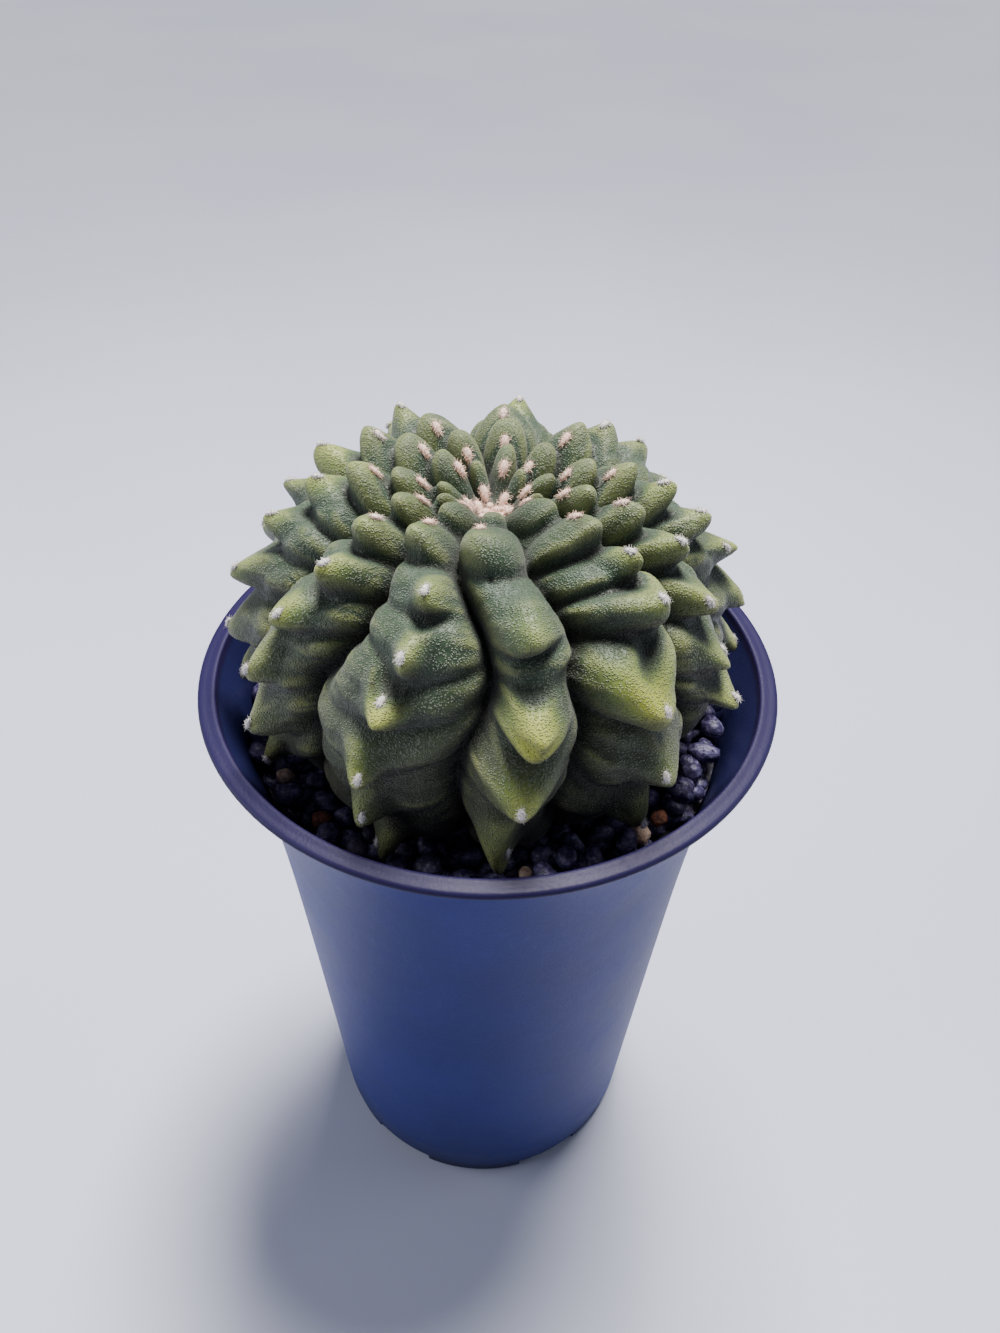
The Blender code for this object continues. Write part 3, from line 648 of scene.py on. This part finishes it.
# Below the grit the skin closes over a plain taproot.
root_rows = 5
root_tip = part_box("cactus_body")[0].z
root_neck = 24.6 * MM
points = [*places.reshape(-1, 3)]
angle = np.radians(azimuths)
for i in range(1, root_rows + 1):
    share = i / (root_rows + 1)
    ring_radius = root_neck * math.sqrt(1.0 - share**1.6)
    ring_height = places[-1, :, 2].mean() * (1.0 - share) + root_tip * share
    points.extend(np.stack((ring_radius * np.sin(angle), -ring_radius * np.cos(angle),
                            np.full(columns, ring_height)), axis=-1))
crown_height = skin(np.array([0.0]), np.array([0.0]))[0][0][2]
points.append((0.0, 0.0, crown_height))
points.append((0.0, 0.0, root_tip))
first = np.arange(columns)
after = (first + 1) % columns
faces = []
for row in range(skin_rows + root_rows - 1):
    base = row * columns
    faces.extend(np.stack((base + first, base + columns + first,
                           base + columns + after, base + after), axis=-1).tolist())
crown_point = (skin_rows + root_rows) * columns
base = crown_point - columns
faces.extend([[crown_point, int(a), int(b)] for a, b in zip(first, after)])
faces.extend([[crown_point + 1, base + int(b), base + int(a)] for a, b in zip(first, after)])
body_mesh = bpy.data.meshes.new("cactus_skin")
body_mesh.from_pydata([tuple(point) for point in points], [], faces)
for name, values in traits.items():
    stored = body_mesh.attributes.new(name, "FLOAT", "POINT")
    filled = np.zeros(len(points), dtype=np.float32)
    filled[:values.size] = values.ravel()
    stored.data.foreach_set("value", filled)
stored = body_mesh.attributes.new("flow", "FLOAT_VECTOR", "POINT")
filled = np.zeros((len(points), 3), dtype=np.float32)
filled[:len(flow_places)] = flow_places
stored.data.foreach_set("vector", filled.ravel())
shape = bmesh.new()
shape.from_mesh(body_mesh)
bmesh.ops.recalc_face_normals(shape, faces=shape.faces)
shape.to_mesh(body_mesh)
shape.free()
body_mesh.shade_smooth()

green = Finish("cactus_skin", Specular_IOR_Level=0.4, Sheen_Weight=0.14, Sheen_Roughness=0.45)


def above_rim(low, high):
    """0 below low, 1 above high, both in mm from the pot's rim."""
    return green.height.between(pot_height + low * MM, pot_height + high * MM)


sun = green.stored("sunned")
ridge = green.stored("ridge")
swell = green.stored("swell")
patch = green.noise(9.0 * MM, 4.0, 0.6)
streak = green.noise(0.8 * MM, 3.0, 0.65, green.stored("flow", "Vector"), 0.4)
grain = green.noise(0.5 * MM, 2.0)
papilla_top = 1.0 - green.cells(0.30 * MM).between(0.08, 0.55)
high = above_rim(8.0, 30.0)
# Pale papillae: partly their own colour, partly painted highlight that is stronger on raised parts.
frost_and_highlight = (streak.between(0.38, 0.66) * 0.4 + swell.between(0.2, 2.4) * 0.35 + 0.35) * papilla_top
sunned = (sun.between(0.40, 1.05) * (1.0 - high * 0.6)).clamp()
stain = green.noise(3.5 * MM, 4.0, 0.6).between(0.52, 0.72) * sun.between(0.05, 0.3)
stain = stain * (1.0 - sun.between(0.5, 0.9))
# Painted shade in sunken parts low on the body, near the grit.
low_furrow_shade = (1.0 - swell.between(-1.5, 0.9)) * (1.0 - above_rim(-6.0, 16.0))
# Painted shade on surfaces that face down, under the chins.
underside_shade = 1.0 - green.facing_up().between(-0.35, 0.35)
low_brown = (1.0 - above_rim(-9.0, 7.0)) * patch.between(0.35, 0.6)
cork = (1.0 - above_rim(-8.5, -5.5)) * streak.between(0.35, 0.6)
# Painted shade in hollows.
hollow_shade = (1.0 - swell.between(-2.6, 0.1)) * 0.7
# Painted shade in creases.
crease_shade = (1.0 - ridge.between(-0.55, -0.02)) * 0.5
olive = coated(
    patch.between(0.35, 0.68).blend((0.032, 0.043, 0.017), (0.062, 0.076, 0.028)),
    (high * 0.8, (0.027, 0.060, 0.034)),
    # Painted highlight: raised parts are lighter, less so high up.
    (swell.between(0.2, 2.2) * (1.0 - high * 0.5) * 0.55, (0.118, 0.150, 0.048)),
    ((frost_and_highlight * 0.48).clamp(), (0.51, 0.56, 0.43)),
    (sun.between(0.15, 0.70) * 0.55, (0.150, 0.230, 0.040)),
    (sunned * 0.85, (0.50, 0.52, 0.045)),
    # Painted highlight: crests are lighter.
    (ridge.between(0.10, 0.60) * 0.40, (0.34, 0.37, 0.12)),
    (hollow_shade.clamp(), (0.014, 0.016, 0.010)),
    (crease_shade.clamp(), (0.014, 0.014, 0.010)),
    (stain * 0.45, (0.046, 0.038, 0.018)),
    (low_furrow_shade * 0.7, (0.009, 0.010, 0.006)),
    (underside_shade * 0.72, (0.016, 0.014, 0.008)),
    (low_brown * 0.6, (0.055, 0.031, 0.020)),
    (cork * 0.8, (0.21, 0.085, 0.050)),
)
green_done = green.finish(olive, grain * 0.15 + 0.42, [(papilla_top, 0.17 * MM), (streak, 0.20 * MM)])
new_piece("cactus_skin", body_mesh, green_done, ["cactus_body"])


# ----------------
# Black grit. Rounded grains of black mineral grit, three to five millimetres
# long, poured loose round the plant as a top dressing. They lie on a bed of
# the same grit, painted much darker than the grains as the shade between them.
# Pale flecks on the grains are partly grey mottling and partly painted highlight.

def tree_with(name, inputs):
    """A Geometry Nodes tree with those named inputs, and a maker for its nodes."""
    tree = bpy.data.node_groups.new(name, "GeometryNodeTree")
    tree.interface.new_socket("Geometry", in_out="OUTPUT", socket_type="NodeSocketGeometry")
    tree.interface.new_socket("Geometry", in_out="INPUT", socket_type="NodeSocketGeometry")
    for label, kind in inputs.items():
        tree.interface.new_socket(label, in_out="INPUT", socket_type=kind)

    def make(kind, settings=None, links=None):
        """Adds one node: its settings first, then the values or links of its sockets."""
        node = tree.nodes.new(kind)
        for key, value in (settings or {}).items():
            setattr(node, key, value)
        for key, value in (links or {}).items():
            if isinstance(value, bpy.types.NodeSocket):
                tree.links.new(value, node.inputs[key])
            else:
                node.inputs[key].default_value = value
        return node

    return tree, make, make("NodeGroupInput").outputs


def dress(tree, make, given, mesh):
    """Ends a tree with the mesh shaded smooth and given its material."""
    smooth = make("GeometryNodeSetShadeSmooth", None, {"Geometry": mesh})
    dressed = make("GeometryNodeSetMaterial", None, {
        "Geometry": smooth.outputs[0], "Material": given["Finish"]})
    tree.links.new(dressed.outputs[0], make("NodeGroupOutput").inputs[0])


def grown(name, mesh, tree, values):
    """The mesh that a Geometry Nodes tree makes on a starting mesh."""
    start = linked(name, mesh)
    modifier = start.modifiers.new(name, "NODES")
    modifier.node_group = tree
    for item in tree.interface.items_tree:
        if item.item_type == "SOCKET" and item.in_out == "INPUT" and item.name in values:
            modifier[item.identifier] = values[item.name]
    return settled(start)


grit_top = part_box("black_grit")[1].z
wall_inside = wall_radius(grit_top) - wall

grit = Finish("black_grit", Specular_IOR_Level=0.5)
grain_tone = grit.stored("tone")
mottle = grit.noise(0.9 * MM, 4.0, 0.65)
pitted = grit.cells(0.35 * MM)
black = coated(mottle.between(0.40, 0.68).blend((0.036, 0.030, 0.082), (0.180, 0.156, 0.310)),
               (grain_tone.between(0.75, 1.0) * 0.45, (0.13, 0.10, 0.13)),
               # Pale flecks: partly the grit's grey mottling, partly painted highlight.
               (mottle.between(0.60, 0.72) * 0.5, (0.42, 0.38, 0.46)))
grit_done = grit.finish(black, mottle * 0.3 + 0.18, [(mottle, 0.22 * MM), (pitted, 0.04 * MM)])

bed = Finish("grit_bed")
# Painted shade: the bed is much darker than the grains above it.
bed_shade = bed.noise(1.6 * MM, 3.0).between(0.4, 0.7).blend((0.006, 0.005, 0.012), (0.020, 0.018, 0.034))
bed_done = bed.finish(bed_shade, bed.noise(3 * MM) * 0.2 + 0.6, [(bed.cells(2.2 * MM), -0.8 * MM)])
for piece_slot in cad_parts["black_grit"].material_slots:
    piece_slot.material = bed_done


def grain_places(count, inner, outer, height, seed, spacing):
    """Random places round the ring, in metres, no two nearer than the spacing."""
    random = np.random.default_rng(seed)
    kept = np.zeros((0, 3))
    for _ in range(count * 12):
        angle = random.uniform(0.0, 2.0 * math.pi)
        out = math.sqrt(random.uniform(inner**2, outer**2))
        uneven = random.normal(0.0, 0.25 * MM)
        spot = np.array((out * math.cos(angle), out * math.sin(angle), height + uneven))
        if not len(kept) or np.linalg.norm(kept[:, :2] - spot[:2], axis=1).min() > spacing:
            kept = np.vstack((kept, spot))
        if len(kept) >= count:
            break
    return kept


# Each layer, from the bed up: (most grains, inner radius, gap to the wall, height above the bed,
# seed, spacing), in mm. The grains are heaped against the wall.
grit_layers = (
    (380, 24.0, 1.8, 0.1, 5, 2.6),
    (280, 25.0, 1.6, 1.8, 6, 3.0),
    (150, 31.0, 1.2, 3.5, 7, 3.3),
    (90, 34.2, 0.4, 5.0, 8, 3.3),
)
spots = np.zeros((0, 3))
for count, inner, gap, above, seed, spacing in grit_layers:
    outer = wall_inside - gap * MM
    layer = grain_places(count, inner * MM, outer, grit_top + above * MM, seed, spacing * MM)
    spots = np.vstack((spots, layer))
# Room is left among the upper grains for the odd ones.
odd_room = 2.9 * MM
odd_nodes = [node for node in sorted(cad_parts) if node.startswith(("pumice_pebble", "clay_pebble"))]
odd_places = np.array([(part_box(node)[0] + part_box(node)[1]) / 2 for node in odd_nodes])
apart = np.linalg.norm(spots[:, None, :2] - odd_places[None, :, :2], axis=2).min(axis=1)
spots = spots[(apart > odd_room) | (spots[:, 2] < grit_top + MM)]
spot_mesh = bpy.data.meshes.new("grit_places")
spot_mesh.from_pydata([tuple(spot) for spot in spots], [], [])

tree, make, given = tree_with("grit grains", {
    "Grain radius": "NodeSocketFloat", "Roundness": "NodeSocketFloat",
    "Finish": "NodeSocketMaterial", "Seed": "NodeSocketInt"})
ball = make("GeometryNodeMeshIcoSphere", None, {"Radius": 1.0, "Subdivisions": 2})
sizes = make("FunctionNodeRandomValue", {"data_type": "FLOAT_VECTOR"},
             {0: (0.85, 0.62, 0.55), 1: (1.35, 0.95, 0.85), "Seed": given["Seed"]})
scaled = make("ShaderNodeVectorMath", {"operation": "SCALE"},
              {0: sizes.outputs[0], "Scale": given["Grain radius"]})
spins = make("FunctionNodeRandomValue", {"data_type": "FLOAT_VECTOR"},
             {0: (-0.6, -0.6, 0.0), 1: (0.6, 0.6, 6.283), "Seed": 11})
placed = make("GeometryNodeInstanceOnPoints", None, {
    "Points": given["Geometry"], "Instance": ball.outputs["Mesh"],
    "Rotation": spins.outputs[0], "Scale": scaled.outputs[0]})
tones = make("FunctionNodeRandomValue", {"data_type": "FLOAT"}, {"Seed": 21})
toned = make("GeometryNodeStoreNamedAttribute", {"data_type": "FLOAT", "domain": "INSTANCE"}, {
    "Geometry": placed.outputs[0], "Name": "tone", "Value": tones.outputs[1]})
real = make("GeometryNodeRealizeInstances", None, {"Geometry": toned.outputs[0]})
here = make("GeometryNodeInputPosition")
lump = make("ShaderNodeTexNoise", None, {"Vector": here.outputs[0], "Scale": 480.0, "Detail": 1.0})
centred = make("ShaderNodeMath", {"operation": "SUBTRACT"}, {0: lump.outputs["Fac"], 1: 0.5})
depth = make("ShaderNodeMath", {"operation": "MULTIPLY"}, {0: centred.outputs[0], 1: given["Roundness"]})
facing = make("GeometryNodeInputNormal")
push = make("ShaderNodeVectorMath", {"operation": "SCALE"}, {0: facing.outputs[0], "Scale": depth.outputs[0]})
moved = make("GeometryNodeSetPosition", None, {"Geometry": real.outputs[0], "Offset": push.outputs[0]})
dress(tree, make, given, moved.outputs[0])
grit_mesh = grown("grit_grains", spot_mesh, tree, {
    "Grain radius": 2.0 * MM, "Roundness": 1.3 * MM, "Finish": grit_done, "Seed": 3})
new_piece("grit_grains", grit_mesh)


# ----------------
# Odd grains. A few pale pumice grains and reddish baked-clay grains that lie
# among the black ones.

def odd_grain_finish(name, pale, dark_colour):
    stone = Finish(name)
    cloud = stone.noise(0.8 * MM, 4.0, 0.65)
    holes = stone.cells(0.5 * MM)
    colour = cloud.between(0.35, 0.65).blend(dark_colour, pale)
    return stone.finish(colour, cloud * 0.2 + 0.75, [(cloud, 0.3 * MM), (holes, 0.12 * MM)])


pumice_done = odd_grain_finish("pumice", (0.88, 0.66, 0.50), (0.48, 0.30, 0.20))
clay_done = odd_grain_finish("red_clay", (0.30, 0.11, 0.06), (0.09, 0.035, 0.025))
# They lie on the heaped grit, higher than the solids that they stand for, and are a little bigger.
heaped = 2.6 * MM
growth = 1.32
for node in odd_nodes:
    low_corner, high_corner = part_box(node)
    middle = (low_corner + high_corner) / 2 + Vector((0.0, 0.0, heaped))
    random = np.random.default_rng(sum(map(ord, node)))
    shape = bmesh.new()
    bmesh.ops.create_icosphere(shape, subdivisions=3, radius=1.0)
    pushes = random.normal(size=(6, 3))
    half_size = (high_corner - low_corner) / 2 * growth
    for vert in shape.verts:
        waves = [math.sin(2.3 * vert.co.dot(Vector(push)) + i) for i, push in enumerate(pushes)]
        bump = sum(waves) * 0.045
        vert.co = Vector(a * b * (1.0 + bump) for a, b in zip(vert.co, half_size)) + middle
    pebble = bpy.data.meshes.new(node)
    shape.to_mesh(pebble)
    shape.free()
    pebble.shade_smooth()
    pale = node.startswith("pumice")
    new_piece(node.replace("pebble", "grain"), pebble,
              pumice_done if pale else clay_done, [node])


# ----------------
# Areole wool. Each chin carries one areole just above its nose: a tuft of
# short felted wool, white on the old chins, pinkish cream on the young ones
# round the crown, with a few stray hairs.

wool = Finish("areole_wool", Specular_IOR_Level=0.2)
strand = wool.noise(0.25 * MM, 3.0, 0.7)
age = wool.stored("age")
young_wool = strand.between(0.35, 0.7).blend((0.74, 0.46, 0.36), (0.95, 0.76, 0.66))
old_wool = strand.between(0.35, 0.7).blend((0.50, 0.45, 0.42), (0.90, 0.88, 0.86))
wool_done = wool.finish(age.between(0.3, 0.7).blend(young_wool, old_wool), strand * 0.1 + 0.85,
                        [(strand, 0.05 * MM)])

# (rib, chin) of the chins that have lost their wool.
bare_chins = ((0, 2), (0, 3), (0, 4))
# Size of a tuft on an old chin and on a young one, and its half width and height beside its size.
old_tuft, young_tuft = 0.60 * MM, 0.74 * MM
tuft_width, tuft_height = 0.54, 0.38


def areoles():
    """(place, direction it faces, direction to the crown, size, age) of each areole."""
    found = []
    for number, rib in enumerate(ribs):
        for k, (azimuth, station) in enumerate(rib):
            if (number, k) in bare_chins:
                continue
            youth = youth_at(station)
            back = mixed(1.1, 2.4, youth) + float(hang(station))
            turns = azimuth + np.array([0.0, -2.5, 2.5, 0.0, 0.0])
            steps = station + np.array([0.0, 0.0, 0.0, -0.7, 0.7]) - back
            spots = skin(turns, np.clip(steps, 0.3, body_length))[0]
            centre, left, right, above, below = (Vector(spot) for spot in spots)
            facing = (below - above).cross(right - left).normalized()
            if facing.dot(centre - Vector((0.0, 0.0, pot_height))) < 0.0:
                facing.negate()
            up = (above - below).normalized()
            found.append((centre, facing, up, mixed(old_tuft, young_tuft, youth), 1.0 - youth))
    return found


tree, make, given = tree_with("wool tufts", {
    "Hair length": "NodeSocketFloat", "Hair thickness": "NodeSocketFloat",
    "Hair density": "NodeSocketFloat", "Finish": "NodeSocketMaterial"})
pad = make("GeometryNodeMeshIcoSphere", None, {"Radius": 1.0, "Subdivisions": 2})
here = make("GeometryNodeInputPosition")
frizz = make("ShaderNodeTexNoise", None, {"Vector": here.outputs[0], "Scale": 2.4, "Detail": 3.0})
facing = make("GeometryNodeInputNormal")
push = make("ShaderNodeVectorMath", {"operation": "SCALE"},
            {0: facing.outputs[0], "Scale": frizz.outputs["Fac"]})
felt = make("GeometryNodeSetPosition", None, {"Geometry": pad.outputs["Mesh"], "Offset": push.outputs[0]})
roots = make("GeometryNodeDistributePointsOnFaces", None, {
    "Mesh": felt.outputs[0], "Density": given["Hair density"], "Seed": 4})
hair = make("GeometryNodeMeshCone", None, {
    "Vertices": 3, "Side Segments": 3, "Radius Top": 0.02, "Radius Bottom": 0.08, "Depth": 1.0})
lean = make("FunctionNodeRandomValue", {"data_type": "FLOAT_VECTOR"},
            {0: (-1.0, -1.0, -0.6), 1: (1.0, 1.0, 1.0), "Seed": 8})
aim = make("ShaderNodeVectorMath", {"operation": "ADD"}, {0: lean.outputs[0], 1: roots.outputs["Normal"]})
turn_to = make("FunctionNodeAlignRotationToVector", {"axis": "Z"}, {"Vector": aim.outputs[0]})
long = make("FunctionNodeRandomValue", {"data_type": "FLOAT"}, {2: 0.5, 3: 1.5, "Seed": 9})
length = make("ShaderNodeMath", {"operation": "MULTIPLY"}, {0: long.outputs[1], 1: given["Hair length"]})
hair_size = make("ShaderNodeCombineXYZ", None, {
    "X": given["Hair thickness"], "Y": given["Hair thickness"], "Z": length.outputs[0]})
hairs = make("GeometryNodeInstanceOnPoints", None, {
    "Points": roots.outputs["Points"], "Instance": hair.outputs["Mesh"],
    "Rotation": turn_to.outputs[0], "Scale": hair_size.outputs[0]})
tuft = make("GeometryNodeJoinGeometry")
tree.links.new(felt.outputs[0], tuft.inputs[0])
tree.links.new(hairs.outputs[0], tuft.inputs[0])
whole = make("GeometryNodeRealizeInstances", None, {"Geometry": tuft.outputs[0]})
turns = make("GeometryNodeInputNamedAttribute", {"data_type": "FLOAT_VECTOR"}, {"Name": "turn"})
spread = make("GeometryNodeInputNamedAttribute", {"data_type": "FLOAT_VECTOR"}, {"Name": "spread"})
stood = make("GeometryNodeInstanceOnPoints", None, {
    "Points": given["Geometry"], "Instance": whole.outputs[0],
    "Rotation": turns.outputs[0], "Scale": spread.outputs[0]})
real = make("GeometryNodeRealizeInstances", None, {"Geometry": stood.outputs[0]})
dress(tree, make, given, real.outputs[0])


def wool_piece(name, tufts, stands_for):
    """One mesh of tufts, each at its place, facing out and drawn out towards the crown."""
    mesh = bpy.data.meshes.new(name)
    mesh.from_pydata([tuple(place) for place, *_ in tufts], [], [])
    for label, kind in (("turn", "FLOAT_VECTOR"), ("spread", "FLOAT_VECTOR"), ("age", "FLOAT")):
        mesh.attributes.new(label, kind, "POINT")
    turn_of, spread_of, age_of = (mesh.attributes[label] for label in ("turn", "spread", "age"))
    for i, (place, facing_out, up, size, years) in enumerate(tufts):
        across = up.cross(facing_out).normalized()
        up = facing_out.cross(across).normalized()
        turn_of.data[i].vector = Matrix((across, up, facing_out)).transposed().to_euler()
        tuft_length = 1.10 - 0.15 * years
        spread_of.data[i].vector = (tuft_width * size, tuft_length * size, tuft_height * size)
        age_of.data[i].value = years
    made = grown(name, mesh, tree, {
        "Hair length": 1.1, "Hair thickness": 1.2, "Hair density": 3.0, "Finish": wool_done})
    new_piece(name, made, None, stands_for)


side_nodes = [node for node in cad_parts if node.startswith("areole_wool")]
wool_piece("areole_tufts", areoles(), side_nodes)

golden_angle = 137.5
random = np.random.default_rng(12)
crown_tufts = []
for i in range(8):
    out_by = 0.9 * math.sqrt(i + 0.3)
    spot = Vector(skin(np.array([i * golden_angle]), np.array([out_by]))[0][0])
    up = Vector((random.uniform(-1, 1), random.uniform(-1, 1), 0.2)).normalized()
    facing_out = Vector((random.uniform(-0.4, 0.4), random.uniform(-0.4, 0.4), 1)).normalized()
    size = random.uniform(0.55, 0.85) * MM
    crown_tufts.append((spot + Vector((0, 0, 0.5 * MM)), facing_out, up, size, 0.0))
wool_piece("crown_tufts", crown_tufts, ["crown_wool"])


# ----------------
# Floor, light and camera. The pot stands on plain pale paper under one broad
# room light, with a small softbox above and behind it and one to each side.

floor_mesh = bpy.data.meshes.new("floor")
floor_mesh.from_pydata([(-3, -3, 0), (3, -3, 0), (3, 3, 0), (-3, 3, 0)], [], [(0, 1, 2, 3)])
floor = linked("floor", floor_mesh)
paper = Finish("floor")
pale = paper.noise(0.3, 2.0).between(0.3, 0.7).blend((0.54, 0.56, 0.70), (0.59, 0.61, 0.73))
floor_mesh.materials.append(paper.finish(pale, paper.noise(0.2) * 0.1 + 0.6))

world = bpy.data.worlds.new("studio")
bpy.context.scene.world = world
world.use_nodes = True
sky = world.node_tree.nodes["Background"].inputs
sky["Color"].default_value = (0.69, 0.72, 1.0, 1.0)
sky["Strength"].default_value = 0.13

plant = Vector((0.0, 0.0, 0.13))


def softbox(name, place, size, power, colour):
    """A square soft light that faces the plant."""
    light = bpy.data.lights.new(name, "AREA")
    light.energy = power
    light.size = size
    light.color = colour
    lamp = linked(name, light)
    lamp.location = place
    lamp.rotation_euler = (plant - Vector(place)).to_track_quat("-Z", "Y").to_euler()


softbox("top_light", (0.02, 0.16, 0.50), 0.14, 3.6, (1.0, 0.97, 0.93))
softbox("right_light", (0.50, 0.05, 0.30), 0.30, 0.5, (0.80, 0.88, 1.0))
softbox("left_light", (-0.50, -0.05, 0.30), 0.35, 1.5, (0.90, 0.93, 1.0))
room = bpy.data.lights.new("room_light", "SUN")
room.energy = 4.1
room.angle = math.radians(18.0)
room.color = (1.0, 0.98, 0.96)
linked("room_light", room).rotation_euler = (math.radians(-16.0), math.radians(9.0), 0.0)

look_down = math.radians(41.77)
roll = math.radians(1.51)
distance = 0.15938
target = Vector((0.00174, 0.0, 0.11614))
forward = Vector((0.0, math.cos(look_down), -math.sin(look_down)))
right = Vector((1.0, 0.0, 0.0))
above = right.cross(forward)
across = right * math.cos(roll) + above * math.sin(roll)
upright = above * math.cos(roll) - right * math.sin(roll)
picture_shape = 1000.0 / 1333.0
view = bpy.data.cameras.new("camera")
view.sensor_width = 36.0
view.lens = 36.0 * picture_shape
view.clip_start = 0.005
camera = linked("camera", view)
turned_camera = Matrix((across, upright, -forward)).transposed().to_4x4()
camera.matrix_world = Matrix.Translation(target - forward * distance) @ turned_camera
bpy.context.scene.camera = camera
